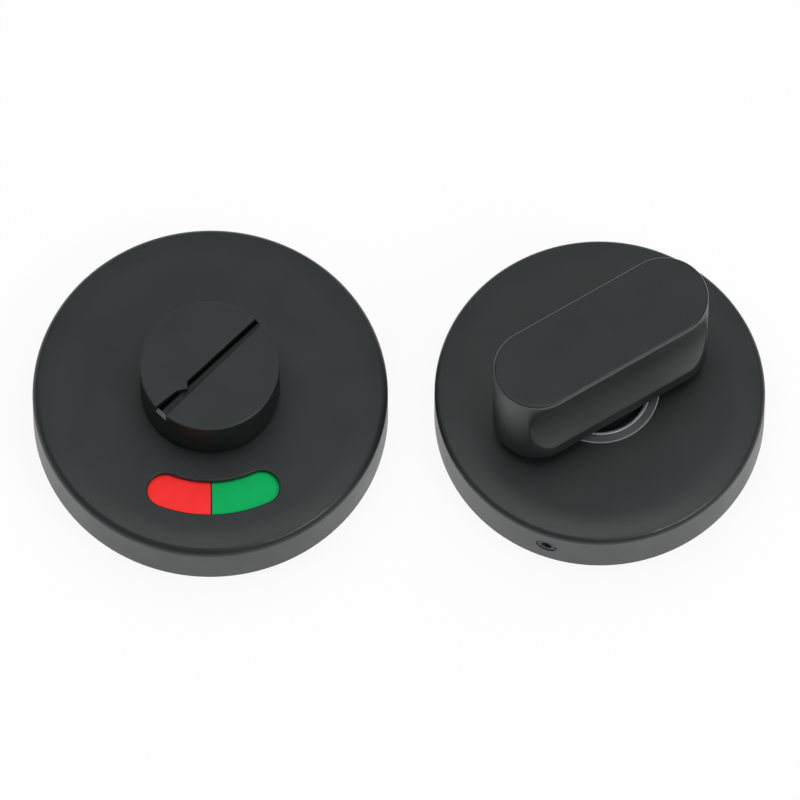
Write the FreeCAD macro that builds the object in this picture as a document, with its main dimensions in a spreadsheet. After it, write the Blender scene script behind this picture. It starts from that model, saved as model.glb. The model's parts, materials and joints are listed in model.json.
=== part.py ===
import FreeCAD, Part
import itertools
import math
import os
from types import SimpleNamespace

import Sketcher

# A bathroom thumb turn lock as its two roses, lying face up side by side along x with their
# backs on z = 0: an outside rose with an indicator window and a coin-slot release knob, and an
# inside rose with a thumb turn. Lengths are in millimetres, angles in degrees.

doc = FreeCAD.newDocument("thumb_turn_lock")
sheet = doc.addObject("Spreadsheet::Sheet", "sizes")
sheet_rows = itertools.count(1)
node_objects = {}

V = FreeCAD.Vector
ORIGIN = V(0, 0, 0)
Z_AXIS = V(0, 0, 1)

class Turn:
    """Parts of a full turn."""

    QUARTER = 90
    HALF = 180
    FULL = 360


class Ref:
    """Numbers that a sketch uses for its own axes and for the named points of lines and arcs."""

    AXIS_H = -1
    AXIS_V = -2
    START = 1
    END = 2
    CENTRE = 3


class Size:
    """A size: its number now, and the formula that ties it to the cells of the sheet."""

    def __init__(self, number, formula):
        self.number = number
        self.formula = formula

    def __float__(self):
        return float(self.number)

    def combined(self, sign, other, number):
        right = other.formula if isinstance(other, Size) else repr(float(other))
        return Size(number, f"({self.formula} {sign} {right})")

    def __add__(self, other):
        return self.combined("+", other, self.number + float(other))

    def __sub__(self, other):
        return self.combined("-", other, self.number - float(other))

    def __mul__(self, other):
        return self.combined("*", other, self.number * float(other))

    def __truediv__(self, other):
        return self.combined("/", other, self.number / float(other))

    def __neg__(self):
        return self * -1

    def cosine(self):
        return Size(math.cos(math.radians(self.number)), f"cos({self.formula} * 1 deg)")

    def sine(self):
        return Size(math.sin(math.radians(self.number)), f"sin({self.formula} * 1 deg)")


def size(name, number):
    """Write a driving size into the next row of the sheet."""
    cell = f"A{next(sheet_rows)}"
    sheet.set(cell, str(number))
    sheet.setAlias(cell, name)
    return Size(number, f"sizes.{name}")


# Gap between the two roses as they lie side by side
rose_gap = size("rose_gap", 6.9)

# Caps and base plates
cover_wall = size("cover_wall", 0.7)
crown_width = size("crown_width", 4.6)
crown_bend = size("crown_bend", 20.0)
base_fit = size("base_fit", 0.15)
plate_thickness = size("plate_thickness", 3.0)
rim_width = size("rim_width", 2.0)
rim_height = size("rim_height", 5.0)
boss_radius = size("boss_radius", 10.2)
recess_radius = size("recess_radius", 8.5)
recess_depth = size("recess_depth", 2.7)

# Bolt holes through the base plates
fixing_centres = size("fixing_centres", 38.0)
fixing_hole_radius = size("fixing_hole_radius", 2.2)
fixing_head_radius = size("fixing_head_radius", 3.7)
fixing_boss_radius = size("fixing_boss_radius", 4.6)
fixing_seat_height = size("fixing_seat_height", 2.6)

# Grub screws that hold the caps on the base plates
screw_radius = size("screw_radius", 1.5)
screw_length = size("screw_length", 6.0)
screw_point_length = size("screw_point_length", 0.8)
screw_point_radius = size("screw_point_radius", 0.9)
screw_height = size("screw_height", 4.3)
screw_recess = size("screw_recess", 0.1)
screw_thread_fit = size("screw_thread_fit", 0.02)
screw_hole_fit = size("screw_hole_fit", 0.1)
screw_key_radius = size("screw_key_radius", 0.87)
screw_key_depth = size("screw_key_depth", 1.6)
screw_boss_length = size("screw_boss_length", 5.0)
screw_boss_width = size("screw_boss_width", 7.0)
screw_boss_wall = size("screw_boss_wall", 0.6)

# Hub and shank of the turn and of the knob, and the parts that hold and guide them
hub_radius = size("hub_radius", 6.0)
shank_radius = size("shank_radius", 5.0)
shank_flats = size("shank_flats", 8.2)
shank_end = size("shank_end", 0.3)
running_fit = size("running_fit", 0.05)
axial_play = size("axial_play", 0.05)
key_fit = size("key_fit", 0.05)
spindle_side = size("spindle_side", 5.0)
spindle_fit = size("spindle_fit", 0.1)
socket_depth = size("socket_depth", 13.0)
thrust_washer_thickness = size("thrust_washer_thickness", 0.5)
thrust_washer_radius = size("thrust_washer_radius", 8.5)
thrust_washer_fit = size("thrust_washer_fit", 0.3)
keyed_plate_thickness = size("keyed_plate_thickness", 1.2)
bush_wall = size("bush_wall", 0.7)
bush_lift = size("bush_lift", 0.4)
bush_hole_fit = size("bush_hole_fit", 0.05)
stop_play = size("stop_play", 0.6)
stop_gap = size("stop_gap", 0.4)

# Circlip and wave washer in the back recess
clip_start = size("clip_start", 0.9)
clip_thickness = size("clip_thickness", 1.0)
clip_radius = size("clip_radius", 6.6)
clip_groove_radius = size("clip_groove_radius", 4.75)
clip_groove_fit = size("clip_groove_fit", 0.05)
clip_gap = size("clip_gap", 1.4)
clip_ear_radius = size("clip_ear_radius", 1.3)
clip_ear_hole_radius = size("clip_ear_hole_radius", 0.6)
wave_inner_radius = size("wave_inner_radius", 5.5)
wave_outer_radius = size("wave_outer_radius", 7.8)
wave_thickness = size("wave_thickness", 0.3)

# Inside rose and thumb turn
turn_rose_radius = size("turn_rose_radius", 24.65)
turn_rose_height = size("turn_rose_height", 9.0)
turn_rose_edge = size("turn_rose_edge", 1.0)
turn_screw_azimuth = size("turn_screw_azimuth", -109.0)
turn_rest_angle = size("turn_rest_angle", 31.5)
turn_travel = size("turn_travel", 90.0)
turn_rest_from_middle = size("turn_rest_from_middle", 6.0)
turn_headroom = size("turn_headroom", 0.9)
collar_inner_radius = size("collar_inner_radius", 7.05)
collar_radius = size("collar_radius", 8.9)
collar_proud = size("collar_proud", 0.6)
collar_inner_edge = size("collar_inner_edge", 0.4)
collar_outer_edge = size("collar_outer_edge", 0.12)
stop_hub_radius = size("stop_hub_radius", 9.6)
stop_reach = size("stop_reach", 13.0)
stop_half_angle = size("stop_half_angle", 125.0)
grip_gap = size("grip_gap", 2.6)
grip_length = size("grip_length", 35.2)
grip_width = size("grip_width", 13.1)
grip_height = size("grip_height", 18.6)
grip_top_edge = size("grip_top_edge", 0.5)
grip_bottom_edge = size("grip_bottom_edge", 0.4)
scoop_radius = size("scoop_radius", 16.5)
scoop_depth = size("scoop_depth", 1.6)
scoop_height = size("scoop_height", 10.0)

# Outside rose, indicator and release knob
release_rose_radius = size("release_rose_radius", 26.5)
release_rose_height = size("release_rose_height", 9.0)
release_rose_edge = size("release_rose_edge", 1.3)
release_screw_azimuth = size("release_screw_azimuth", 91.9)
release_rest_angle = size("release_rest_angle", 225.0)
release_travel = size("release_travel", 90.0)
release_rest_from_middle = size("release_rest_from_middle", -1.1)
window_radius = size("window_radius", 17.5)
window_width = size("window_width", 5.3)
window_half_angle = size("window_half_angle", 24.2)
window_edge = size("window_edge", 0.25)
field_gap = size("field_gap", 0.15)
field_thickness = size("field_thickness", 0.3)
field_inner_radius = size("field_inner_radius", 14.4)
field_outer_radius = size("field_outer_radius", 21.4)
field_half_angle = size("field_half_angle", 80.0)
field_divider_angle = size("field_divider_angle", 0.8)
fan_hub_radius = size("fan_hub_radius", 13.0)
fan_reach = size("fan_reach", 22.0)
fan_half_angle = size("fan_half_angle", 81.0)
fan_stop_width = size("fan_stop_width", 4.0)
bush_flange_radius = size("bush_flange_radius", 9.0)
bush_flange_proud = size("bush_flange_proud", 0.9)
bush_edge = size("bush_edge", 0.1)
knob_gap = size("knob_gap", 0.1)
knob_radius = size("knob_radius", 10.4)
knob_height = size("knob_height", 7.9)
knob_edge = size("knob_edge", 0.25)
slot_depth = size("slot_depth", 1.1)
slot_wall = size("slot_wall", 0.6)
slot_side = size("slot_side", 0.55)
slot_side_edge = size("slot_side_edge", 0.3)
mouth_wall = size("mouth_wall", 1.0)
mouth_side = size("mouth_side", 1.0)
mouth_chamfer = size("mouth_chamfer", 0.5)
tooth_start = size("tooth_start", 4.1)
tooth_tip_x = size("tooth_tip_x", 4.95)
tooth_tip_y = size("tooth_tip_y", 0.25)
tooth_end = size("tooth_end", 6.3)


def rose_levels(centre_x, radius, height, edge, screw_azimuth, headroom):
    """The places that the pieces of one rose share: its axis, wall and stack of levels."""
    rose = SimpleNamespace(centre_x=centre_x, radius=radius, height=height, edge=edge)
    rose.screw_azimuth = screw_azimuth
    rose.inner_radius = radius - cover_wall
    rose.base_radius = rose.inner_radius - base_fit
    rose.under = height - cover_wall
    rose.plate_top = rose.under - headroom
    rose.plate_bottom = rose.plate_top - keyed_plate_thickness
    rose.washer_bottom = rose.plate_bottom - axial_play - thrust_washer_thickness
    rose.screw_outer = radius - screw_recess
    return rose


turn_centre_x = release_rose_radius + rose_gap / 2
turn_rose = rose_levels(
    turn_centre_x, turn_rose_radius, turn_rose_height, turn_rose_edge, turn_screw_azimuth, turn_headroom
)
turn_rose.hole_radius = collar_inner_radius + bush_wall + bush_hole_fit
turn_rose.stop_inner = stop_hub_radius + stop_gap
turn_rose.stop_outer = stop_reach
turn_rose.stop_half = -turn_travel / 2 - stop_half_angle - stop_play + Turn.HALF

release_centre_x = -(turn_rose_radius + rose_gap / 2)
release_rose = rose_levels(
    release_centre_x,
    release_rose_radius,
    release_rose_height,
    release_rose_edge,
    release_screw_azimuth,
    field_gap + field_thickness,
)
bush_inner_radius = hub_radius + running_fit
release_rose.hole_radius = bush_inner_radius + bush_wall + bush_hole_fit
release_rose.stop_inner = fan_hub_radius + stop_gap
release_rose.stop_outer = release_rose.stop_inner + fan_stop_width
release_rose.stop_half = -release_travel / 2 - fan_half_angle - stop_play + Turn.HALF


def bind(thing, path, value):
    """Tie a property to the sheet."""
    thing.setExpression(path, value.formula)


def place(thing, name, centre_x, spin=None):
    """Name a finished piece and stand it on the axis of its rose, turned about that axis."""
    thing.Label = name
    bind(thing, "Placement.Base.x", centre_x)
    if spin is not None:
        bind(thing, "Placement.Rotation.Angle", spin)
    node_objects[name] = thing


def sketch_on(body, role, name, lift=None):
    """An empty sketch on one of the body's own planes, moved along that plane's normal."""
    sketch = body.newObject("Sketcher::SketchObject", name)
    plane = next(feature for feature in body.Origin.OriginFeatures if feature.Role == role)
    sketch.AttachmentSupport = [(plane, "")]
    sketch.MapMode = "FlatFace"
    if lift is not None:
        bind(sketch, "AttachmentOffset.Base.z", lift)
    return sketch


def rule(sketch, kind, *where):
    """Add a constraint that has no size."""
    sketch.addConstraint(Sketcher.Constraint(kind, *where))


def dimension(sketch, kind, *where, value):
    """Add a constraint whose size comes from the sheet."""
    index = sketch.addConstraint(Sketcher.Constraint(kind, *where, float(value)))
    sketch.setExpression(f"Constraints[{index}]", value.formula)


def pin_point(sketch, shape, point, x, y):
    """Fix a point of a sketch at (x, y) from its origin, where 0 puts it on an axis."""
    for kind, axis, value in (("DistanceX", Ref.AXIS_V, x), ("DistanceY", Ref.AXIS_H, y)):
        if float(value) == 0:
            rule(sketch, "PointOnObject", shape, point, axis)
        elif float(value) > 0:
            dimension(sketch, kind, Ref.AXIS_H, Ref.START, shape, point, value=value)
        else:
            dimension(sketch, kind, shape, point, Ref.AXIS_H, Ref.START, value=-value)


def draw_lines(sketch, corners):
    """Draw a closed chain of straight lines and join their ends."""
    count = len(corners)
    points = [V(float(x), float(y), 0) for x, y in corners]
    for i in range(count):
        sketch.addGeometry(Part.LineSegment(points[i], points[(i + 1) % count]), False)
    for i in range(count):
        rule(sketch, "Coincident", i, Ref.END, (i + 1) % count, Ref.START)


def draw_outline(sketch, corners):
    """Draw a closed outline through corners that are each fixed from the origin."""
    draw_lines(sketch, corners)
    for i, (x, y) in enumerate(corners):
        pin_point(sketch, i, Ref.START, x, y)


def draw_centred_box(sketch, length, width):
    """Draw a rectangle about the origin."""
    x = length / 2
    y = width / 2
    draw_lines(sketch, [(-x, -y), (x, -y), (x, y), (-x, y)])
    for i in range(4):
        rule(sketch, "Vertical" if i % 2 else "Horizontal", i)
    rule(sketch, "Symmetric", 0, Ref.START, 1, Ref.END, Ref.AXIS_H, Ref.START)
    dimension(sketch, "DistanceX", 0, Ref.START, 0, Ref.END, value=length)
    dimension(sketch, "DistanceY", 1, Ref.START, 1, Ref.END, value=width)


def draw_bar(sketch, near, far, width):
    """Draw a rectangle that lies along the x axis from near to far."""
    y = width / 2
    draw_lines(sketch, [(near, -y), (far, -y), (far, y), (near, y)])
    rule(sketch, "Horizontal", 0)
    rule(sketch, "Horizontal", 2)
    rule(sketch, "Vertical", 3)
    rule(sketch, "Symmetric", 1, Ref.START, 1, Ref.END, Ref.AXIS_H)
    dimension(sketch, "DistanceX", Ref.AXIS_H, Ref.START, 0, Ref.START, value=near)
    dimension(sketch, "DistanceX", Ref.AXIS_H, Ref.START, 0, Ref.END, value=far)
    dimension(sketch, "DistanceY", 1, Ref.START, 1, Ref.END, value=width)


def draw_circle(sketch, radius, x=0, y=0):
    """Draw a circle and give back its number in the sketch."""
    circle = Part.Circle(V(float(x), float(y), 0), Z_AXIS, float(radius))
    index = sketch.addGeometry(circle, False)
    if float(x) == 0 and float(y) == 0:
        rule(sketch, "Coincident", index, Ref.CENTRE, Ref.AXIS_H, Ref.START)
    else:
        pin_point(sketch, index, Ref.CENTRE, x, y)
    dimension(sketch, "Radius", index, value=radius)
    return index


def draw_circle_pair(sketch, radius, x, y, *mirror):
    """Draw a circle and its equal on the other side of an axis or point of the sketch."""
    first = draw_circle(sketch, radius, x, y)
    flip_x = 1 if mirror == (Ref.AXIS_H,) else -1
    flip_y = 1 if mirror == (Ref.AXIS_V,) else -1
    centre = V(float(x) * flip_x, float(y) * flip_y, 0)
    second = sketch.addGeometry(Part.Circle(centre, Z_AXIS, float(radius)), False)
    rule(sketch, "Equal", first, second)
    rule(sketch, "Symmetric", first, Ref.CENTRE, second, Ref.CENTRE, *mirror)


def draw_long_round(sketch, length, width):
    """Draw a straight-sided outline with half-round ends, about the origin."""
    radius = float(width) / 2
    reach = float(length) / 2 - radius
    quarter = math.pi / 2
    left = Part.Circle(V(-reach, 0, 0), Z_AXIS, radius)
    right = Part.Circle(V(reach, 0, 0), Z_AXIS, radius)
    sketch.addGeometry(Part.ArcOfCircle(left, quarter, 3 * quarter), False)
    sketch.addGeometry(Part.ArcOfCircle(right, -quarter, quarter), False)
    sketch.addGeometry(Part.LineSegment(V(-reach, radius, 0), V(reach, radius, 0)), False)
    sketch.addGeometry(Part.LineSegment(V(-reach, -radius, 0), V(reach, -radius, 0)), False)
    rule(sketch, "Tangent", 0, Ref.START, 2, Ref.START)
    rule(sketch, "Tangent", 0, Ref.END, 3, Ref.START)
    rule(sketch, "Tangent", 1, Ref.START, 3, Ref.END)
    rule(sketch, "Tangent", 1, Ref.END, 2, Ref.END)
    rule(sketch, "Symmetric", 0, Ref.CENTRE, 1, Ref.CENTRE, Ref.AXIS_H, Ref.START)
    rule(sketch, "PointOnObject", 0, Ref.CENTRE, Ref.AXIS_H)
    dimension(sketch, "Radius", 0, value=width / 2)
    dimension(sketch, "DistanceX", 0, Ref.CENTRE, 1, Ref.CENTRE, value=length - width)


def draw_flatted_round(sketch, radius, flats):
    """Draw a circle with two opposite flats, which lie along x."""
    rise = float(flats) / 2
    lean = math.asin(rise / float(radius))
    run = float(radius) * math.cos(lean)
    circle = Part.Circle(ORIGIN, Z_AXIS, float(radius))
    sketch.addGeometry(Part.ArcOfCircle(circle, -lean, lean), False)
    sketch.addGeometry(Part.LineSegment(V(run, rise, 0), V(-run, rise, 0)), False)
    sketch.addGeometry(Part.ArcOfCircle(circle, math.pi - lean, math.pi + lean), False)
    sketch.addGeometry(Part.LineSegment(V(-run, -rise, 0), V(run, -rise, 0)), False)
    for i in range(4):
        rule(sketch, "Coincident", i, Ref.END, (i + 1) % 4, Ref.START)
    for arc in (0, 2):
        rule(sketch, "Coincident", arc, Ref.CENTRE, Ref.AXIS_H, Ref.START)
    rule(sketch, "Equal", 0, 2)
    rule(sketch, "Horizontal", 1)
    rule(sketch, "Horizontal", 3)
    dimension(sketch, "Radius", 0, value=radius)
    dimension(sketch, "DistanceY", Ref.AXIS_H, Ref.START, 1, Ref.START, value=flats / 2)
    dimension(sketch, "DistanceY", 3, Ref.START, Ref.AXIS_H, Ref.START, value=flats / 2)


def grown(body, feature):
    """Recompute after a feature and check that the body has changed and is sound."""
    before = body.Shape.Volume if not body.Shape.isNull() else 0.0
    doc.recompute()
    if abs(body.Shape.Volume - before) < 1e-6:
        raise RuntimeError(f"{body.Name}: {feature.Name} changes nothing")
    return feature


def pad(body, sketch, length):
    feature = body.newObject("PartDesign::Pad", sketch.Name + "_pad")
    feature.Profile = sketch
    bind(feature, "Length", length)
    return grown(body, feature)


def pocket(body, sketch, length=None, onward=False, both_ways=False):
    """Cut a sketch out of a body: back through its plane, onward from it, or both ways."""
    feature = body.newObject("PartDesign::Pocket", sketch.Name + "_pocket")
    feature.Profile = sketch
    feature.Reversed = onward
    if both_ways:
        feature.SideType = "Symmetric"
    if length is None:
        feature.Type = "ThroughAll"
    else:
        bind(feature, "Length", length)
    return grown(body, feature)


def turned(body, sketch, kind, half_angle=None):
    """Turn a section about the z axis, all the way or by an angle to each side."""
    feature = body.newObject(kind, sketch.Name + "_turned")
    feature.Profile = sketch
    feature.ReferenceAxis = (sketch, ["V_Axis"])
    if half_angle is None:
        feature.Angle = Turn.FULL
    else:
        feature.Midplane = True
        bind(feature, "Angle", half_angle * 2)
    return grown(body, feature)


def dress_edges(body, kind, value, wanted):
    """Round or chamfer the edges that a test picks from the body as it is."""
    base = body.Tip
    names = [f"Edge{i}" for i, edge in enumerate(base.Shape.Edges, 1) if wanted(edge)]
    feature = body.newObject(kind, f"{body.Name}_edge")
    feature.Base = (base, names)
    bind(feature, "Size" if kind.endswith("Chamfer") else "Radius", value)
    return grown(body, feature)


def near(number, value):
    return abs(number - float(value)) < 1e-4


def lies_at(edge, level):
    """Is an edge flat, at this height?"""
    box = edge.BoundBox
    return near(box.ZMin, level) and near(box.ZMax, level)


def is_round(edge, radius):
    """Is an edge part of a circle of this radius?"""
    return isinstance(edge.Curve, Part.Circle) and near(edge.Curve.Radius, radius)


def new_body(name):
    return doc.addObject("PartDesign::Body", name)


def primitive(kind, lift=None, spin=None, **sizes):
    """A Part primitive on the z axis with its sizes tied to the sheet."""
    thing = doc.addObject(f"Part::{kind}", kind.lower())
    for path, value in sizes.items():
        bind(thing, path, value)
    if lift is not None:
        bind(thing, "Placement.Base.z", lift)
    if spin is not None:
        bind(thing, "Placement.Rotation.Angle", spin)
    return thing


def cut(base, tool):
    result = doc.addObject("Part::Cut", "cut")
    result.Base = base
    result.Tool = tool
    return result


def fuse(*things):
    result = doc.addObject("Part::MultiFuse", "fuse")
    result.Shapes = list(things)
    return result


def draw_cap_section(sketch, rose):
    """Draw half the section of a cap: a flat face, a slow bend, a rounded edge and a plain wall."""
    flat = rose.radius - crown_width
    edge_inside = rose.edge - cover_wall
    lean = math.asin(float(crown_width - rose.edge) / float(crown_bend - rose.edge))
    upright = math.pi / 2
    bend_centre = V(float(flat), float(rose.height - crown_bend), 0)
    outward = V(math.sin(lean), math.cos(lean), 0)
    edge_centre = bend_centre + outward * float(crown_bend - rose.edge)

    def arc(centre, radius, start, end):
        return Part.ArcOfCircle(Part.Circle(centre, Z_AXIS, float(radius)), start, end)

    crown = arc(bend_centre, crown_bend, upright - lean, upright)
    edge = arc(edge_centre, rose.edge, 0, upright - lean)
    inner_edge = arc(edge_centre, edge_inside, 0, upright - lean)
    under = arc(bend_centre, crown_bend - cover_wall, upright - lean, upright)
    hole_top = V(float(rose.hole_radius), float(rose.height), 0)
    hole_under = V(float(rose.hole_radius), float(rose.under), 0)
    wall_foot = V(float(rose.radius), 0, 0)
    inner_foot = V(float(rose.inner_radius), 0, 0)
    shapes = [
        Part.LineSegment(hole_top, crown.EndPoint),
        crown,
        edge,
        Part.LineSegment(edge.StartPoint, wall_foot),
        Part.LineSegment(wall_foot, inner_foot),
        Part.LineSegment(inner_foot, inner_edge.StartPoint),
        inner_edge,
        under,
        Part.LineSegment(under.EndPoint, hole_under),
        Part.LineSegment(hole_under, hole_top),
    ]
    for shape in shapes:
        sketch.addGeometry(shape, False)
    rule(sketch, "Coincident", 0, Ref.END, 1, Ref.END)
    rule(sketch, "Tangent", 1, Ref.START, 2, Ref.END)
    rule(sketch, "Tangent", 2, Ref.START, 3, Ref.START)
    rule(sketch, "Coincident", 3, Ref.END, 4, Ref.START)
    rule(sketch, "Coincident", 4, Ref.END, 5, Ref.START)
    rule(sketch, "Tangent", 5, Ref.END, 6, Ref.START)
    rule(sketch, "Tangent", 6, Ref.END, 7, Ref.START)
    rule(sketch, "Coincident", 7, Ref.END, 8, Ref.START)
    rule(sketch, "Coincident", 8, Ref.END, 9, Ref.START)
    rule(sketch, "Coincident", 9, Ref.END, 0, Ref.START)
    rule(sketch, "Coincident", 2, Ref.CENTRE, 6, Ref.CENTRE)
    for line in (0, 4, 8):
        rule(sketch, "Horizontal", line)
    for line in (3, 5, 9):
        rule(sketch, "Vertical", line)
    rule(sketch, "Vertical", 1, Ref.END, 1, Ref.CENTRE)
    rule(sketch, "Vertical", 7, Ref.END, 7, Ref.CENTRE)
    rule(sketch, "Vertical", 1, Ref.END, 7, Ref.END)
    dimension(sketch, "Radius", 1, value=crown_bend)
    dimension(sketch, "Radius", 2, value=rose.edge)
    dimension(sketch, "Radius", 6, value=edge_inside)
    pin_point(sketch, 0, Ref.START, rose.hole_radius, rose.height)
    pin_point(sketch, 3, Ref.END, rose.radius, 0)
    dimension(sketch, "DistanceX", Ref.AXIS_H, Ref.START, 0, Ref.END, value=flat)
    dimension(sketch, "DistanceY", Ref.AXIS_H, Ref.START, 8, Ref.END, value=rose.under)


def make_cover(name, rose):
    """A round cap: a turned cup with a centre hole and a screw hole at -x."""
    body = new_body(name)
    section = sketch_on(body, "XZ_Plane", f"{name}_section")
    draw_cap_section(section, rose)
    turned(body, section, "PartDesign::Revolution")
    screw_hole = sketch_on(body, "YZ_Plane", f"{name}_screw_hole")
    draw_circle(screw_hole, screw_radius + screw_hole_fit, y=screw_height)
    pocket(body, screw_hole)
    place(body, name, rose.centre_x, rose.screw_azimuth + Turn.HALF)
    return body


def cut_window(body, rose):
    """The indicator window: an arc slot through the cap about +x, with its front edge eased."""
    inner = window_radius - window_width / 2
    outer = window_radius + window_width / 2
    low = rose.under - cover_wall
    high = rose.height + cover_wall
    section = sketch_on(body, "XZ_Plane", "window_section")
    draw_outline(section, [(inner, low), (outer, low), (outer, high), (inner, high)])
    turned(body, section, "PartDesign::Groove", window_half_angle)
    ends = sketch_on(body, "XY_Plane", "window_ends", low)
    end_x = window_radius * window_half_angle.cosine()
    end_y = window_radius * window_half_angle.sine()
    draw_circle_pair(ends, window_width / 2, end_x, end_y, Ref.AXIS_H)
    pocket(body, ends, onward=True)

    def on_window(edge):
        middle = edge.valueAt((edge.FirstParameter + edge.LastParameter) / 2)
        reach = math.hypot(middle.x, middle.y)
        margin = float(window_edge)
        return lies_at(edge, rose.height) and float(inner) - margin < reach < float(outer) + margin

    dress_edges(body, "PartDesign::Fillet", window_edge, on_window)


def make_base_plate(name, rose):
    """A cast plate with a rim, bearing boss, bolt bosses, and screw boss and stop block at +x."""
    body = new_body(name)
    bore = shank_radius + running_fit
    section = sketch_on(body, "XZ_Plane", f"{name}_section")
    corners = [
        (bore, recess_depth),
        (recess_radius, recess_depth),
        (recess_radius, 0),
        (rose.base_radius, 0),
        (rose.base_radius, rim_height),
        (rose.base_radius - rim_width, rim_height),
        (rose.base_radius - rim_width, plate_thickness),
        (boss_radius, plate_thickness),
        (boss_radius, rose.washer_bottom),
        (bore, rose.washer_bottom),
    ]
    draw_outline(section, corners)
    turned(body, section, "PartDesign::Revolution")

    half_centres = fixing_centres / 2
    bosses = sketch_on(body, "XY_Plane", f"{name}_bolt_bosses")
    draw_circle_pair(bosses, fixing_boss_radius, 0, half_centres, Ref.AXIS_H, Ref.START)
    pad(body, bosses, rim_height)

    boss_far = rose.base_radius - rim_width / 2
    boss_near = boss_far - screw_boss_length
    screw_boss = sketch_on(body, "XY_Plane", f"{name}_screw_boss")
    draw_bar(screw_boss, boss_near, boss_far, screw_boss_width)
    pad(body, screw_boss, screw_height + screw_radius + screw_boss_wall)

    stop_foot = plate_thickness / 2
    stop = sketch_on(body, "XZ_Plane", f"{name}_stop")
    stop_corners = [
        (rose.stop_inner, stop_foot),
        (rose.stop_outer, stop_foot),
        (rose.stop_outer, rose.plate_top),
        (rose.stop_inner, rose.plate_top),
    ]
    draw_outline(stop, stop_corners)
    turned(body, stop, "PartDesign::Revolution", rose.stop_half)

    holes = sketch_on(body, "XY_Plane", f"{name}_bolt_holes")
    draw_circle_pair(holes, fixing_hole_radius, 0, half_centres, Ref.AXIS_H, Ref.START)
    pocket(body, holes, onward=True)
    seats = sketch_on(body, "XY_Plane", f"{name}_bolt_seats", fixing_seat_height)
    draw_circle_pair(seats, fixing_head_radius, 0, half_centres, Ref.AXIS_H, Ref.START)
    pocket(body, seats, onward=True)

    screw_hole = sketch_on(body, "YZ_Plane", f"{name}_screw_hole", boss_near)
    draw_circle(screw_hole, screw_radius + screw_thread_fit, y=screw_height)
    pocket(body, screw_hole, onward=True)
    place(body, name, rose.centre_x, rose.screw_azimuth)


def make_bush(name, rose, inner, flange_radius, proud, inner_edge, outer_edge):
    """A flanged ring in the cap's centre hole."""
    body = new_body(name)
    top = rose.height + proud
    bottom = rose.plate_top + bush_lift
    sleeve = inner + bush_wall
    section = sketch_on(body, "XZ_Plane", f"{name}_section")
    corners = [
        (inner, bottom),
        (sleeve, bottom),
        (sleeve, rose.height),
        (flange_radius, rose.height),
        (flange_radius, top),
        (inner, top),
    ]
    draw_outline(section, corners)
    turned(body, section, "PartDesign::Revolution")
    for radius, edge in ((inner, inner_edge), (flange_radius, outer_edge)):
        dress_edges(
            body,
            "PartDesign::Chamfer",
            edge,
            lambda each: is_round(each, radius) and lies_at(each, top),
        )
    place(body, name, rose.centre_x)


def add_shank(body, rose, hub_top):
    """Add a round hub, a flatted shank with a circlip groove, and a square spindle socket."""
    hub = sketch_on(body, "XY_Plane", f"{body.Name}_hub", rose.plate_top)
    draw_circle(hub, hub_radius)
    pad(body, hub, hub_top - rose.plate_top)
    shank = sketch_on(body, "XY_Plane", f"{body.Name}_shank", shank_end)
    draw_flatted_round(shank, shank_radius, shank_flats)
    pad(body, shank, rose.plate_top - shank_end)

    groove_low = clip_start - clip_groove_fit
    groove_high = clip_start + clip_thickness + clip_groove_fit
    groove_out = shank_radius + clip_groove_fit
    groove = sketch_on(body, "XZ_Plane", f"{body.Name}_groove")
    groove_corners = [
        (clip_groove_radius, groove_low),
        (groove_out, groove_low),
        (groove_out, groove_high),
        (clip_groove_radius, groove_high),
    ]
    draw_outline(groove, groove_corners)
    turned(body, groove, "PartDesign::Groove")

    socket = sketch_on(body, "XY_Plane", f"{body.Name}_socket", shank_end)
    side = spindle_side + spindle_fit
    draw_centred_box(socket, side, side)
    pocket(body, socket, socket_depth, onward=True)


def make_thumb_turn(name, rose):
    """The thumb turn: a long round-ended grip along x, its sides scooped for finger and thumb."""
    body = new_body(name)
    bottom = rose.height + grip_gap
    top = bottom + grip_height
    outline = sketch_on(body, "XY_Plane", "grip_outline", bottom)
    draw_long_round(outline, grip_length, grip_width)
    pad(body, outline, grip_height)

    scoops = sketch_on(body, "YZ_Plane", "grip_scoops")
    scoop_centre = grip_width / 2 - scoop_depth + scoop_radius
    draw_circle_pair(scoops, scoop_radius, scoop_centre, bottom + scoop_height, Ref.AXIS_V)
    pocket(body, scoops, both_ways=True)
    dress_edges(body, "PartDesign::Fillet", grip_top_edge, lambda edge: lies_at(edge, top))
    dress_edges(body, "PartDesign::Fillet", grip_bottom_edge, lambda edge: lies_at(edge, bottom))
    add_shank(body, rose, bottom)
    place(body, name, rose.centre_x, turn_rest_angle)


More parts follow.
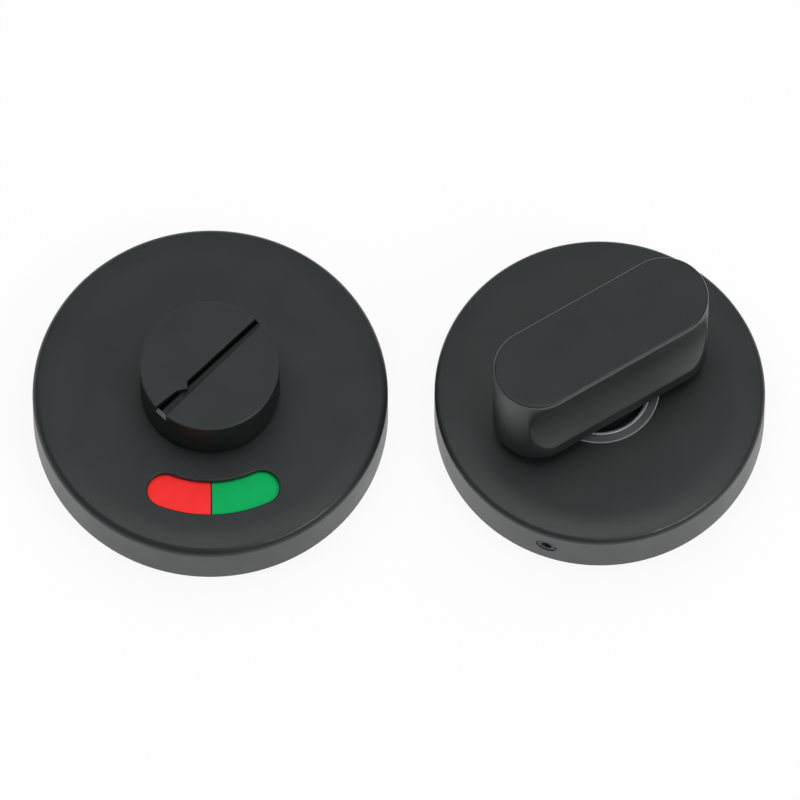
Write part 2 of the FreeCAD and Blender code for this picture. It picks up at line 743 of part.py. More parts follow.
def make_release_knob(name, rose):
    """The release knob: a round head with a coin slot along x and a tooth in the slot's wall."""
    body = new_body(name)
    bottom = rose.height + bush_flange_proud + knob_gap
    top = bottom + knob_height
    floor = top - slot_depth
    head = sketch_on(body, "XY_Plane", "knob_head", bottom)
    draw_circle(head, knob_radius)
    pad(body, head, knob_height)
    dress_edges(body, "PartDesign::Fillet", knob_edge, lambda edge: lies_at(edge, top))

    slot = sketch_on(body, "XY_Plane", "coin_slot", top)
    reach = knob_radius + slot_side
    slot_corners = [
        (-reach, -slot_wall),
        (tooth_start, -slot_wall),
        (tooth_tip_x, tooth_tip_y),
        (tooth_end, -slot_wall),
        (reach, -mouth_wall),
        (reach, mouth_side),
        (-reach, slot_side),
    ]
    draw_outline(slot, slot_corners)
    pocket(body, slot, slot_depth)

    def on_slot_side(edge):
        straight = isinstance(edge.Curve, Part.Line)
        return straight and lies_at(edge, top) and edge.CenterOfMass.y > 0

    def on_mouth(edge):
        return is_round(edge, knob_radius) and lies_at(edge, floor) and edge.CenterOfMass.x > 0

    dress_edges(body, "PartDesign::Chamfer", mouth_chamfer, on_mouth)
    dress_edges(body, "PartDesign::Fillet", slot_side_edge, on_slot_side)
    add_shank(body, rose, bottom)
    place(body, name, rose.centre_x, release_rest_angle)


def make_keyed_plate(name, rose, hub, reach, half_angle, spin, shank_angle):
    """A plate on the shank's flats: a round hub and a sector about +x whose ends are the stops."""
    disc = primitive("Cylinder", rose.plate_bottom, Radius=hub, Height=keyed_plate_thickness)
    sector = primitive(
        "Cylinder",
        rose.plate_bottom,
        -half_angle,
        Radius=reach,
        Height=keyed_plate_thickness,
        Angle=half_angle * 2,
    )
    key_radius = shank_radius + key_fit
    key_width = shank_flats + key_fit * 2
    key_round = primitive("Cylinder", rose.plate_bottom, Radius=key_radius, Height=keyed_plate_thickness)
    key_bar = primitive(
        "Box", rose.plate_bottom, Length=key_radius * 2, Width=key_width, Height=keyed_plate_thickness
    )
    bind(key_bar, "Placement.Base.x", -key_radius)
    bind(key_bar, "Placement.Base.y", -key_width / 2)
    key = doc.addObject("Part::Common", f"{name}_key")
    key.Base = key_round
    key.Tool = key_bar
    bind(key, "Placement.Rotation.Angle", shank_angle - spin)
    place(cut(fuse(disc, sector), key), name, rose.centre_x, spin)


def make_field(name, rose, start, spin):
    """One colour field on the indicator disc, as a thin part of a ring."""
    span = field_half_angle - field_divider_angle / 2
    wide = primitive(
        "Cylinder", rose.plate_top, start, Radius=field_outer_radius, Height=field_thickness, Angle=span
    )
    centre = primitive("Cylinder", rose.plate_top, Radius=field_inner_radius, Height=field_thickness)
    place(cut(wide, centre), name, rose.centre_x, spin)


def make_thrust_washer(name, rose):
    inner = shank_radius + thrust_washer_fit
    thickness = thrust_washer_thickness
    disc = primitive("Cylinder", rose.washer_bottom, Radius=thrust_washer_radius, Height=thickness)
    hole = primitive("Cylinder", rose.washer_bottom, Radius=inner, Height=thickness)
    place(cut(disc, hole), name, rose.centre_x)


def make_wave_washer(name, rose, crests=3):
    """A spring washer that waves between the circlip and the floor of the back recess."""
    low = float(clip_start + clip_thickness + axial_play)
    high = float(recess_depth - axial_play)
    thickness = float(wave_thickness)
    rise = (high - low - thickness) / 2
    points_per_turn = 8 * crests

    def wavy_ring(radius):
        points = []
        for i in range(points_per_turn):
            angle = 2 * math.pi * i / points_per_turn
            level = low + rise + rise * math.cos(crests * angle)
            points.append(V(radius * math.cos(angle), radius * math.sin(angle), level))
        curve = Part.BSplineCurve()
        curve.interpolate(points, PeriodicFlag=True)
        return curve.toShape()

    band = Part.makeRuledSurface(wavy_ring(float(wave_outer_radius)), wavy_ring(float(wave_inner_radius)))
    washer = doc.addObject("Part::Feature", name)
    washer.Shape = band.extrude(V(0, 0, thickness))
    place(washer, name, rose.centre_x)


def make_circlip(name, rose, spin):
    """An open spring ring in the shank's groove, with two eared ends at +x."""
    inner = clip_groove_radius + clip_groove_fit
    ear_x = clip_radius - clip_ear_radius / 4
    ear_y = clip_gap / 2 + clip_ear_radius * 0.7
    solids = [primitive("Cylinder", clip_start, Radius=clip_radius, Height=clip_thickness)]
    tools = [primitive("Cylinder", clip_start, Radius=inner, Height=clip_thickness)]
    for side in (1, -1):
        ear = primitive("Cylinder", clip_start, Radius=clip_ear_radius, Height=clip_thickness)
        hole = primitive("Cylinder", clip_start, Radius=clip_ear_hole_radius, Height=clip_thickness)
        for thing in (ear, hole):
            bind(thing, "Placement.Base.x", ear_x)
            bind(thing, "Placement.Base.y", ear_y * side)
        solids.append(ear)
        tools.append(hole)
    opening = primitive(
        "Box", clip_start, Length=clip_radius + clip_ear_radius * 2, Width=clip_gap, Height=clip_thickness
    )
    bind(opening, "Placement.Base.y", -clip_gap / 2)
    tools.append(opening)
    place(cut(fuse(*solids), fuse(*tools)), name, rose.centre_x, spin)


def make_cover_screw(name, rose):
    """A pointed grub screw along +x, its hexagon socket just under the cap's outer face."""
    inner_end = rose.screw_outer - screw_length
    neck = inner_end + screw_point_length
    body = primitive("Cylinder", Radius=screw_radius, Height=screw_length - screw_point_length)
    point = primitive("Cone", Radius1=screw_point_radius, Radius2=screw_radius, Height=screw_point_length)
    key = primitive("Prism", Circumradius=screw_key_radius, Height=screw_key_depth)
    key.Polygon = 6
    for thing, start in ((body, neck), (point, inner_end), (key, rose.screw_outer - screw_key_depth)):
        thing.Placement = FreeCAD.Placement(ORIGIN, FreeCAD.Rotation(V(0, 1, 0), Turn.QUARTER))
        bind(thing, "Placement.Base.x", start)
        bind(thing, "Placement.Base.z", screw_height)
    place(cut(fuse(body, point), key), name, rose.centre_x, rose.screw_azimuth)


def write_parts():
    """Check every object and piece, and write each piece to its own file."""
    doc.recompute()
    for thing in doc.Objects:
        if "Invalid" in thing.State or "Error" in thing.State:
            raise RuntimeError(f"{thing.Name} failed: {thing.State}")
    for name, thing in node_objects.items():
        shape = thing.Shape
        if shape.isNull() or not shape.isValid() or len(shape.Solids) != 1:
            raise RuntimeError(f"{name} is not one sound solid")
    os.makedirs("parts", exist_ok=True)
    for name, thing in node_objects.items():
        thing.Shape.exportStep(f"parts/{name}.step")


# Inside half
make_cover("turn_rose_cover", turn_rose)
make_base_plate("turn_base_plate", turn_rose)
make_bush(
    "turn_collar",
    turn_rose,
    collar_inner_radius,
    collar_radius,
    collar_proud,
    collar_inner_edge,
    collar_outer_edge,
)
make_thumb_turn("thumb_turn", turn_rose)
stop_plate_spin = turn_screw_azimuth + Turn.HALF + turn_rest_from_middle
make_keyed_plate(
    "turn_stop_plate",
    turn_rose,
    stop_hub_radius,
    stop_reach,
    stop_half_angle,
    stop_plate_spin,
    turn_rest_angle,
)
make_thrust_washer("turn_thrust_washer", turn_rose)
make_wave_washer("turn_wave_washer", turn_rose)
make_circlip("turn_circlip", turn_rose, turn_rest_angle)
make_cover_screw("turn_cover_screw", turn_rose)

# Outside half
cut_window(make_cover("release_rose_cover", release_rose), release_rose)
make_base_plate("release_base_plate", release_rose)
make_bush(
    "release_bush",
    release_rose,
    bush_inner_radius,
    bush_flange_radius,
    bush_flange_proud,
    bush_edge,
    bush_edge,
)
make_release_knob("release_knob", release_rose)
fan_spin = release_screw_azimuth + Turn.HALF + release_rest_from_middle
make_keyed_plate(
    "indicator_disc",
    release_rose,
    fan_hub_radius,
    fan_reach,
    fan_half_angle,
    fan_spin,
    release_rest_angle,
)
make_field("red_field", release_rose, -field_half_angle, fan_spin)
make_field("green_field", release_rose, field_divider_angle / 2, fan_spin)
make_thrust_washer("release_thrust_washer", release_rose)
make_wave_washer("release_wave_washer", release_rose)
make_circlip("release_circlip", release_rose, release_rest_angle)
make_cover_screw("release_cover_screw", release_rose)

write_parts()
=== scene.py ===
import json
import math

import bmesh
import bpy
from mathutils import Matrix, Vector


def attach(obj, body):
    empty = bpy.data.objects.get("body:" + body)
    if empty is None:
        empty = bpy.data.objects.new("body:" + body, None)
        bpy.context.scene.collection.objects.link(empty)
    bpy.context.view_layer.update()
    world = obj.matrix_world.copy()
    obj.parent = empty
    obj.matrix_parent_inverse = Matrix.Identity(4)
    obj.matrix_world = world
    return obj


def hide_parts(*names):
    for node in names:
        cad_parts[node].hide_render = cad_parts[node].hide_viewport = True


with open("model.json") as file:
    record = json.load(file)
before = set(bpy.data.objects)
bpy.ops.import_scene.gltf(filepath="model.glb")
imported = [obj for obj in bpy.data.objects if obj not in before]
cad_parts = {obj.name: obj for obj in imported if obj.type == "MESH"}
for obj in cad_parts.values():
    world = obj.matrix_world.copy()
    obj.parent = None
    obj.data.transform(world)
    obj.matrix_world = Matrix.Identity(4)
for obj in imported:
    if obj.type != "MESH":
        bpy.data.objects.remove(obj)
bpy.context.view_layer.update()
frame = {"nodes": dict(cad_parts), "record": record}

MM = 0.001
UM = 1e-6

# Camera: where it stands, seen from the middle of the lock
VIEW_TARGET = Vector((0.18 * MM, 2.21 * MM, 0.0))
VIEW_DISTANCE = 3000 * MM
VIEW_ELEVATION = math.radians(66.55)
LENS_MM = 903.5
SENSOR_MM = 36.0
CLIP_NEAR = 10 * MM
CLIP_FAR = 10000 * MM

# Table top and room
TABLE_REACH = 2.0
TABLE_DROP = 0.02 * MM
TABLE_GREY = (0.82, 0.82, 0.82, 1.0)
TABLE_ROUGHNESS = 0.9
TABLE_GLOW = 0.9
ROOM_COLOUR = (0.96, 1.0, 1.0, 1.0)
ROOM_STRENGTH = 0.28

# Shading of the turned and cast forms
MERGE_DISTANCE = 0.0005 * MM
SHARP_ANGLE = math.radians(30)
SOFT_ANGLE = math.radians(60)

# Grain of the finishes: how fine grain and slow patches mix, and the part of the noise that is used
GRAIN_DETAIL = 3.0
PATCH_DETAIL = 2.0
GRAIN_SHARE = 0.45
NOISE_LOW = 0.35
NOISE_HIGH = 0.65

# The turn's collar: the painted highlight on the lip of its bore, and the middle of its ring
TURN_AXIS_X = 29.95 * MM
BORE_HIGHLIGHT_START = 7.62 * MM
BORE_HIGHLIGHT_END = 7.52 * MM
BORE_HIGHLIGHT_COLOUR = (0.72, 0.75, 0.75)
COLLAR_MIDDLE = 8.4 * MM

# The grip's scoops
GRIP_ANGLE = math.radians(31.5)
GRIP_HALF_WIDTH = 6.53 * MM
SCOOP_LOW = 13.0 * MM
SCOOP_HIGH = 29.2 * MM

# The release knob: its foot, its coin slot, and the painted shade along the slot's wall
RELEASE_AXIS_X = -28.1 * MM
KNOB_LOW = 10.0 * MM
SLOT_ANGLE = math.radians(225)
MOUTH_LOW = 15.8 * MM
SLOT_LOW = 16.5 * MM
SLOT_HIGH = 17.3 * MM
WALL_SHADE_START = 0.1 * MM
WALL_SHADE_END = -0.35 * MM
WALL_SHADE_COLOUR = (0.001, 0.001, 0.001)

# How far faces lean, as a share of their normal: slanted, in a rounded edge, upright, along the side
SLANT_LOW = 0.3
SLANT_HIGH = 0.9
TOP_EDGE_LOW = 0.4
TOP_EDGE_HIGH = 0.7
UPRIGHT_LEAN = 0.1
SIDE_LEAN = 0.05


# Shader nodes


def add_node(tree, kind, feeds=None, **settings):
    """Add a shader node, set its options, and feed its inputs with values or other sockets."""
    node = tree.nodes.new(kind)
    for name, value in settings.items():
        setattr(node, name, value)
    for name, value in (feeds or {}).items():
        feed(tree, node, name, value)
    return node


def feed(tree, node, name, value):
    """Give one input of a node a plain value, or link another node's output to it."""
    if isinstance(value, bpy.types.NodeSocket):
        tree.links.new(value, node.inputs[name])
    else:
        node.inputs[name].default_value = value


# A Mix node repeats its socket names for values and colours, so they are picked by number
def mix_values(tree, share, first, second):
    """A value between two others."""
    feeds = {0: share, 2: first, 3: second}
    return add_node(tree, "ShaderNodeMix", feeds, data_type="FLOAT").outputs[0]


def mix_colours(tree, share, first, second):
    """A colour between two others."""
    feeds = {0: share, 6: first, 7: second}
    return add_node(tree, "ShaderNodeMix", feeds, data_type="RGBA").outputs[2]


def new_group(name, inputs, outputs):
    """An empty shader group with named sockets, and its two end nodes."""
    group = bpy.data.node_groups.new(name, "ShaderNodeTree")
    for socket, kind in inputs.items():
        group.interface.new_socket(name=socket, in_out="INPUT", socket_type=f"NodeSocket{kind}")
    for socket, kind in outputs.items():
        group.interface.new_socket(name=socket, in_out="OUTPUT", socket_type=f"NodeSocket{kind}")
    return group, group.nodes.new("NodeGroupInput").outputs, group.nodes.new("NodeGroupOutput")


def make_surface_grain():
    """Fine grain over slow patches: a colour, a roughness and a height that vary together."""
    inputs = {
        "Dark": "Color",
        "Light": "Color",
        "Smooth": "Float",
        "Rough": "Float",
        "Grain Size": "Float",
        "Patch Size": "Float",
    }
    outputs = {"Color": "Color", "Roughness": "Float", "Height": "Float"}
    group, given, result = new_group("surface_grain", inputs, outputs)
    place = add_node(group, "ShaderNodeTexCoord").outputs["Object"]

    def noise(size, detail):
        per_metre = add_node(group, "ShaderNodeMath", {0: 1.0, 1: size}, operation="DIVIDE")
        feeds = {"Vector": place, "Scale": per_metre.outputs[0], "Detail": detail}
        return add_node(group, "ShaderNodeTexNoise", feeds).outputs["Fac"]

    grain = noise(given["Grain Size"], GRAIN_DETAIL)
    patches = noise(given["Patch Size"], PATCH_DETAIL)
    both = mix_values(group, GRAIN_SHARE, patches, grain)
    spread = {"Value": both, "From Min": NOISE_LOW, "From Max": NOISE_HIGH}
    share = add_node(group, "ShaderNodeMapRange", spread).outputs[0]
    feed(group, result, "Color", mix_colours(group, share, given["Dark"], given["Light"]))
    feed(group, result, "Roughness", mix_values(group, share, given["Smooth"], given["Rough"]))
    feed(group, result, "Height", grain)
    return group


def make_colour_fade():
    """A colour that fades to another while a distance runs from one value to another."""
    inputs = {
        "Plain": "Color",
        "Faded": "Color",
        "Reach": "Float",
        "Start": "Float",
        "End": "Float",
    }
    group, given, result = new_group("colour_fade", inputs, {"Color": "Color"})
    spread = {"Value": given["Reach"], "From Min": given["Start"], "From Max": given["End"]}
    share = add_node(group, "ShaderNodeMapRange", spread, interpolation_type="SMOOTHSTEP").outputs[0]
    feed(group, result, "Color", mix_colours(group, share, given["Plain"], given["Faded"]))
    return group


surface_grain = make_surface_grain()
colour_fade = make_colour_fade()


def beside(tree, axis_x):
    """Where a point lies, seen from an upright axis."""
    place = add_node(tree, "ShaderNodeTexCoord").outputs["Object"]
    feeds = {0: place, 1: (axis_x, 0.0, 0.0)}
    return add_node(tree, "ShaderNodeVectorMath", feeds, operation="SUBTRACT").outputs["Vector"]


def reach_from_axis(tree, axis_x):
    """How far a point lies from an upright axis."""
    feeds = {0: beside(tree, axis_x), 1: (1.0, 1.0, 0.0)}
    level = add_node(tree, "ShaderNodeVectorMath", feeds, operation="MULTIPLY").outputs["Vector"]
    return add_node(tree, "ShaderNodeVectorMath", {0: level}, operation="LENGTH").outputs["Value"]


def reach_across(tree, axis_x, across):
    """How far a point lies from an upright axis in one direction."""
    feeds = {0: beside(tree, axis_x), 1: across}
    return add_node(tree, "ShaderNodeVectorMath", feeds, operation="DOT_PRODUCT").outputs["Value"]


# Finishes


def grained_material(name, dark, light, smooth, rough, grain_mm, patch_mm, bump_um, **shader_values):
    """A finish with a fine grain: colour and roughness vary, and the grain stands up a little."""
    material = bpy.data.materials.new(name)
    material.use_nodes = True
    tree = material.node_tree
    shader = tree.nodes["Principled BSDF"]
    for socket, value in shader_values.items():
        shader.inputs[socket.replace("_", " ")].default_value = value
    values = {
        "Dark": (*dark, 1.0),
        "Light": (*light, 1.0),
        "Smooth": smooth,
        "Rough": rough,
        "Grain Size": grain_mm * MM,
        "Patch Size": patch_mm * MM,
    }
    grain = add_node(tree, "ShaderNodeGroup", values, node_tree=surface_grain)
    feeds = {"Strength": 1.0, "Distance": bump_um * UM, "Height": grain.outputs["Height"]}
    bump = add_node(tree, "ShaderNodeBump", feeds)
    feed(tree, shader, "Base Color", grain.outputs["Color"])
    feed(tree, shader, "Roughness", grain.outputs["Roughness"])
    feed(tree, shader, "Normal", bump.outputs["Normal"])
    return material


def fade_finish(material, reach, start, end, colour):
    """Let a finish fade to another colour by a distance."""
    tree = material.node_tree
    shader = tree.nodes["Principled BSDF"]
    plain = shader.inputs["Base Color"].links[0].from_socket
    values = {"Plain": plain, "Faded": (*colour, 1.0), "Reach": reach, "Start": start, "End": end}
    fade = add_node(tree, "ShaderNodeGroup", values, node_tree=colour_fade)
    feed(tree, shader, "Base Color", fade.outputs["Color"])


def black_coat(name, sheen, ior=1.5):
    """Satin black coat, with the faint peel of a sprayed finish."""
    return grained_material(
        name,
        dark=(0.0118, 0.0150, 0.0147),
        light=(0.0150, 0.0186, 0.0182),
        smooth=0.34,
        rough=0.42,
        grain_mm=0.22,
        patch_mm=7.0,
        bump_um=1.2,
        Specular_IOR_Level=sheen,
        IOR=ior,
    )


def painted_edge_highlight():
    """A pale coat along an edge: a painted highlight."""
    return grained_material(
        "painted_edge_highlight",
        dark=(0.095, 0.105, 0.105),
        light=(0.125, 0.138, 0.138),
        smooth=0.3,
        rough=0.4,
        grain_mm=0.15,
        patch_mm=4.0,
        bump_um=1.0,
    )


def slot_floor():
    """The coin slot's floor, with painted shade along the wall."""
    material = grained_material(
        "slot_floor",
        dark=(0.030, 0.033, 0.033),
        light=(0.036, 0.039, 0.039),
        smooth=0.5,
        rough=0.6,
        grain_mm=0.2,
        patch_mm=3.0,
        bump_um=2.0,
        Specular_IOR_Level=0.0,
    )
    across = (-math.sin(SLOT_ANGLE), math.cos(SLOT_ANGLE), 0.0)
    reach = reach_across(material.node_tree, RELEASE_AXIS_X, across)
    # Painted shade: the floor darkens towards the slot's wall.
    fade_finish(material, reach, WALL_SHADE_START, WALL_SHADE_END, WALL_SHADE_COLOUR)
    return material


def zinc_casting():
    """The bare cast metal of the base plates."""
    return grained_material(
        "zinc_casting",
        dark=(0.36, 0.36, 0.355),
        light=(0.48, 0.48, 0.47),
        smooth=0.38,
        rough=0.55,
        grain_mm=0.35,
        patch_mm=5.0,
        bump_um=9.0,
        Metallic=0.9,
    )


def collar_nylon():
    """Grey nylon with a painted highlight on the lip round the bore."""
    material = grained_material(
        "grey_nylon",
        dark=(0.072, 0.083, 0.082),
        light=(0.090, 0.102, 0.101),
        smooth=0.36,
        rough=0.46,
        grain_mm=0.18,
        patch_mm=3.0,
        bump_um=2.0,
    )
    reach = reach_from_axis(material.node_tree, TURN_AXIS_X)
    # Painted highlight: the nylon turns pale towards the lip of the bore.
    fade_finish(material, reach, BORE_HIGHLIGHT_START, BORE_HIGHLIGHT_END, BORE_HIGHLIGHT_COLOUR)
    return material


def painted_collar_highlight(name, dark, light):
    """A painted highlight on a slanted edge of the collar."""
    return grained_material(
        name,
        dark=dark,
        light=light,
        smooth=0.26,
        rough=0.36,
        grain_mm=0.12,
        patch_mm=2.0,
        bump_um=1.0,
    )


def white_nylon():
    """The thrust washers' nylon, which light enters a little."""
    return grained_material(
        "white_nylon",
        dark=(0.70, 0.69, 0.64),
        light=(0.79, 0.78, 0.74),
        smooth=0.38,
        rough=0.5,
        grain_mm=0.25,
        patch_mm=4.0,
        bump_um=3.0,
        Subsurface_Weight=0.1,
        Subsurface_Scale=0.5 * MM,
    )


def black_steel():
    """The blackened steel of the screws and the plates on the shanks."""
    return grained_material(
        "black_steel",
        dark=(0.024, 0.031, 0.043),
        light=(0.033, 0.041, 0.055),
        smooth=0.38,
        rough=0.5,
        grain_mm=0.15,
        patch_mm=1.5,
        bump_um=1.5,
        Specular_IOR_Level=0.2,
    )


def spring_steel():
    """The oiled steel of the wave washers and circlips."""
    return grained_material(
        "spring_steel",
        dark=(0.25, 0.25, 0.26),
        light=(0.36, 0.36, 0.365),
        smooth=0.24,
        rough=0.36,
        grain_mm=0.2,
        patch_mm=2.5,
        bump_um=1.5,
        Metallic=1.0,
    )


def enamel(name, dark, light):
    """The satin paint of a colour field."""
    return grained_material(
        name,
        dark=dark,
        light=light,
        smooth=0.32,
        rough=0.4,
        grain_mm=0.3,
        patch_mm=2.5,
        bump_um=1.0,
        Specular_IOR_Level=0.08,
    )


finishes = {
    "black_coat": black_coat("black_coat", sheen=0.5),
    # A copy of the coat with more sheen, for a rose that is lit brighter: painted sheen.
    "rose_painted_sheen": black_coat("rose_painted_sheen", sheen=0.6),
    # A copy of the coat with much more sheen: a painted reflection in the grip's scoops.
    "scoop_painted_sheen": black_coat("scoop_painted_sheen", sheen=1.0, ior=1.65),
    # A copy of the coat with little sheen: painted shade on the knob's side.
    "skirt_painted_shade": black_coat("skirt_painted_shade", sheen=0.1),
    # A pale coat: a painted highlight along the grip's top edge and the slot's mouth.
    "painted_edge_highlight": painted_edge_highlight(),
    "slot_floor": slot_floor(),
    "zinc_casting": zinc_casting(),
    "grey_nylon": collar_nylon(),
    # Pale coats: painted highlights on the collar's slanted edges, dimmer on the outer one.
    "bright_painted_highlight": painted_collar_highlight("bright_painted_highlight", dark=(0.55, 0.58, 0.58), light=(0.68, 0.71, 0.71)),
    "dim_painted_highlight": painted_collar_highlight("dim_painted_highlight", dark=(0.27, 0.29, 0.29), light=(0.33, 0.35, 0.35)),
    "white_nylon": white_nylon(),
    "black_steel": black_steel(),
    "spring_steel": spring_steel(),
    "red_enamel": enamel("red_enamel", dark=(0.88, 0.028, 0.026), light=(0.94, 0.033, 0.031)),
    "green_enamel": enamel("green_enamel", dark=(0.001, 0.36, 0.088), light=(0.0015, 0.40, 0.10)),
}

# The finish that each piece is made in
node_finish = {
    "turn_rose_cover": "black_coat",
    "release_rose_cover": "black_coat",
    "thumb_turn": "black_coat",
    "release_knob": "black_coat",
    "turn_base_plate": "zinc_casting",
    "release_base_plate": "zinc_casting",
    "turn_collar": "grey_nylon",
    "release_bush": "grey_nylon",
    "turn_thrust_washer": "white_nylon",
    "release_thrust_washer": "white_nylon",
    "turn_stop_plate": "black_steel",
    "indicator_disc": "black_steel",
    "turn_wave_washer": "spring_steel",
    "release_wave_washer": "spring_steel",
    "turn_circlip": "spring_steel",
    "release_circlip": "spring_steel",
    "turn_cover_screw": "black_steel",
    "release_cover_screw": "black_steel",
    "red_field": "red_enamel",
    "green_field": "green_enamel",
}


# Faces that carry painted highlights, painted sheen and painted shade


def on_slant(face):
    """Is this a slanted edge face?"""
    return SLANT_LOW < face.normal.z < SLANT_HIGH


def on_collar_rim(face):
    """Is this a face of the slanted edge round the outside of the collar?"""
    middle = face.calc_center_median()
    return on_slant(face) and math.hypot(middle.x - TURN_AXIS_X, middle.y) > COLLAR_MIDDLE


def in_scoop(face):
    """Is this a face of the scoops that the fingers hold in the grip's sides?"""
    along = Vector((math.cos(GRIP_ANGLE), math.sin(GRIP_ANGLE), 0.0))
    across = Vector((-along.y, along.x, 0.0))
    middle = face.calc_center_median()
    lengthwise = abs(face.normal.dot(along)) < SIDE_LEAN
    inset = abs((middle - Vector((TURN_AXIS_X, 0.0, 0.0))).dot(across)) < GRIP_HALF_WIDTH
    return lengthwise and inset and SCOOP_LOW < middle.z < SCOOP_HIGH


def on_top_edge(face):
    """Is this a face along the middle of the grip's rounded top edge?"""
    rounded = TOP_EDGE_LOW < face.normal.z < TOP_EDGE_HIGH
    return rounded and face.calc_center_median().z > SCOOP_HIGH


def on_slot_floor(face):
    """Is this the floor of the release knob's coin slot?"""
    return face.normal.z > SLANT_HIGH and SLOT_LOW < face.calc_center_median().z < SLOT_HIGH


def on_slot_mouth(face):
    """Is this the chamfer at the mouth of the slot, which carries a painted highlight?"""
    return on_slant(face) and MOUTH_LOW < face.calc_center_median().z < SLOT_HIGH


def on_skirt(face):
    """Is this a face of the release knob's upright side?"""
    return abs(face.normal.z) < UPRIGHT_LEAN and face.calc_center_median().z > KNOB_LOW


# Pieces whose edges the coat rounds off
soft_nodes = {"thumb_turn"}

# Pieces and faces that have a finish of their own; where two hold a face, the later one shows
# The turn's rose cover has a copy of the coat with more sheen: painted sheen.
whole_finish = {"turn_rose_cover": "rose_painted_sheen"}
part_finish = {
    # The collar's slanted edges carry painted highlights.
    "turn_collar": [("bright_painted_highlight", on_slant), ("dim_painted_highlight", on_collar_rim)],
    # The grip's scoops carry painted sheen, standing in for the table's reflection.
    "thumb_turn": [("scoop_painted_sheen", in_scoop), ("painted_edge_highlight", on_top_edge)],
    "release_knob": [
        # The knob's upright side has a copy of the coat with less sheen: painted shade.
        ("skirt_painted_shade", on_skirt),
        # The slot's floor has painted shade along its wall.
        ("slot_floor", on_slot_floor),
        # The slot's mouth carries a painted highlight.
        ("painted_edge_highlight", on_slot_mouth),
    ],
}


# Pieces


def joined_form(node_name):
    """A solid with its faces joined, and marked smooth between its real edges."""
    form = bmesh.new()
    form.from_mesh(frame["nodes"][node_name].data)
    bmesh.ops.remove_doubles(form, verts=form.verts, dist=MERGE_DISTANCE)
    for face in form.faces:
        face.smooth = True
    limit = SOFT_ANGLE if node_name in soft_nodes else SHARP_ANGLE
    for edge in form.edges:
        edge.smooth = edge.calc_face_angle(math.pi) < limit
    return form


def share_out_finishes(form, node_name):
    """Mark the faces that have a finish of their own, and list the piece's materials in order."""
    materials = [finishes[whole_finish.get(node_name, node_finish[node_name])]]
    for own_finish, chosen in part_finish.get(node_name, []):
        for face in form.faces:
            if chosen(face):
                face.material_index = len(materials)
        materials.append(finishes[own_finish])
    return materials


def finished_piece(node_name, body_name):
    """The shown piece of a solid, in its finishes and evenly shaded."""
    form = joined_form(node_name)
    materials = share_out_finishes(form, node_name)
    mesh = bpy.data.meshes.new(f"{node_name}_finished")
    form.to_mesh(mesh)
    form.free()
    for material in materials:
        mesh.materials.append(material)
    piece = bpy.data.objects.new(mesh.name, mesh)
    bpy.context.scene.collection.objects.link(piece)
    shading = piece.modifiers.new("even_shading", "WEIGHTED_NORMAL")
    shading.keep_sharp = True
    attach(piece, body_name)
    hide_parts(node_name)


for body_name, node_names in frame["record"]["behaviour"]["bodies"].items():
    for node_name in node_names:
        finished_piece(node_name, body_name)


# Studio


def table_material():
    """White to the eye and in reflections, lit and shaded for all other light."""
    material = bpy.data.materials.new("table_top")
    material.use_nodes = True
    tree = material.node_tree
    shader = tree.nodes["Principled BSDF"]
    shader.inputs["Base Color"].default_value = TABLE_GREY
    shader.inputs["Roughness"].default_value = TABLE_ROUGHNESS
    shader.inputs["Specular IOR Level"].default_value = 0.0
    white = add_node(tree, "ShaderNodeEmission", {"Strength": 1.0})
    rays = add_node(tree, "ShaderNodeLightPath").outputs
    feeds = {0: rays["Is Camera Ray"], 1: rays["Is Glossy Ray"]}
    seen = add_node(tree, "ShaderNodeMath", feeds, operation="MAXIMUM")
    feeds = {0: seen.outputs[0], 1: rays["Is Transmission Ray"]}
    shown = add_node(tree, "ShaderNodeMath", feeds, operation="MAXIMUM")
    feeds = {0: shown.outputs[0], 1: TABLE_GLOW}
    share = add_node(tree, "ShaderNodeMath", feeds, operation="MULTIPLY")
    feeds = {0: share.outputs[0], 1: shader.outputs[0], 2: white.outputs[0]}
    mixed = add_node(tree, "ShaderNodeMixShader", feeds)
    feed(tree, tree.nodes["Material Output"], "Surface", mixed.outputs[0])
    return material


def make_floor():
    """A pale table top, a hair below the roses' backs."""
    form = bmesh.new()
    bmesh.ops.create_grid(form, x_segments=1, y_segments=1, size=TABLE_REACH)
    mesh = bpy.data.meshes.new("table_top")
    form.to_mesh(mesh)
    form.free()
    mesh.materials.append(table_material())
    floor = bpy.data.objects.new("table_top", mesh)
    floor.location.z = -TABLE_DROP
    bpy.context.scene.collection.objects.link(floor)


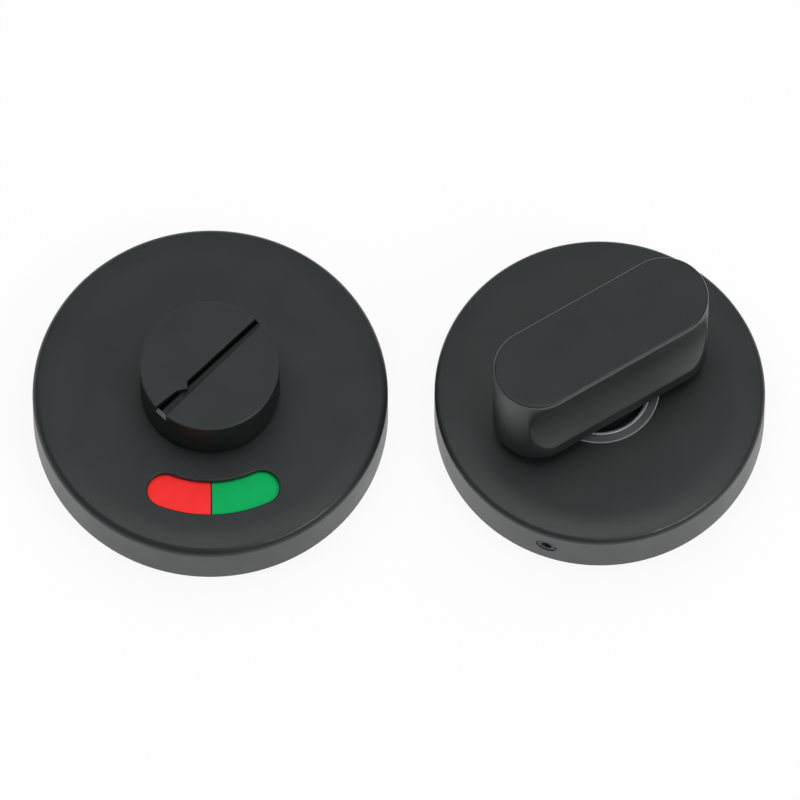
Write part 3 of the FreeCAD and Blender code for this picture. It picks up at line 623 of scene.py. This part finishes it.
def add_softbox(name, toward, distance, width, depth, radiance, mirrored=True):
    """A rectangular soft light that looks at the lock from a direction."""
    lamp = bpy.data.lights.new(name, "AREA")
    lamp.shape = "RECTANGLE"
    lamp.size = width
    lamp.size_y = depth
    lamp.energy = radiance * math.pi * width * depth
    softbox = bpy.data.objects.new(name, lamp)
    direction = Vector(toward).normalized()
    softbox.location = direction * distance
    softbox.rotation_mode = "QUATERNION"
    softbox.rotation_quaternion = direction.to_track_quat("Z", "Y")
    softbox.visible_camera = False
    softbox.visible_glossy = mirrored
    bpy.context.scene.collection.objects.link(softbox)


def make_studio():
    """The table top, the pale room round it, and four soft lights."""
    make_floor()
    world = bpy.data.worlds.new("studio")
    world.use_nodes = True
    background = world.node_tree.nodes["Background"]
    background.inputs["Color"].default_value = ROOM_COLOUR
    background.inputs["Strength"].default_value = ROOM_STRENGTH
    bpy.context.scene.world = world
    add_softbox(
        "overhead_softbox",
        toward=(0.0, 0.06, 1.0),
        distance=1.2,
        width=1.0,
        depth=0.36,
        radiance=2.0,
    )
    add_softbox(
        "back_softbox",
        toward=(0.0, 0.8, 0.75),
        distance=1.2,
        width=1.8,
        depth=0.8,
        radiance=0.2,
    )
    add_softbox(
        "front_right_softbox",
        toward=(0.65, -0.5, 0.85),
        distance=1.2,
        width=0.35,
        depth=0.35,
        radiance=8.0,
    )
    add_softbox(
        "fill_softbox",
        toward=(0.0, 0.25, 1.0),
        distance=1.4,
        width=1.6,
        depth=1.6,
        radiance=1.7,
        mirrored=False,
    )
    bpy.context.scene.view_settings.view_transform = "Standard"


def make_camera():
    """A far camera with a long lens, in front of the lock and high above it."""
    lens = bpy.data.cameras.new("camera")
    lens.lens = LENS_MM
    lens.sensor_width = SENSOR_MM
    lens.sensor_fit = "HORIZONTAL"
    lens.clip_start = CLIP_NEAR
    lens.clip_end = CLIP_FAR
    back = Vector((0.0, -math.cos(VIEW_ELEVATION), math.sin(VIEW_ELEVATION)))
    camera = bpy.data.objects.new("camera", lens)
    camera.location = VIEW_TARGET + back * VIEW_DISTANCE
    camera.rotation_mode = "QUATERNION"
    camera.rotation_quaternion = back.to_track_quat("Z", "Y")
    bpy.context.scene.collection.objects.link(camera)
    bpy.context.scene.camera = camera


make_studio()
make_camera()
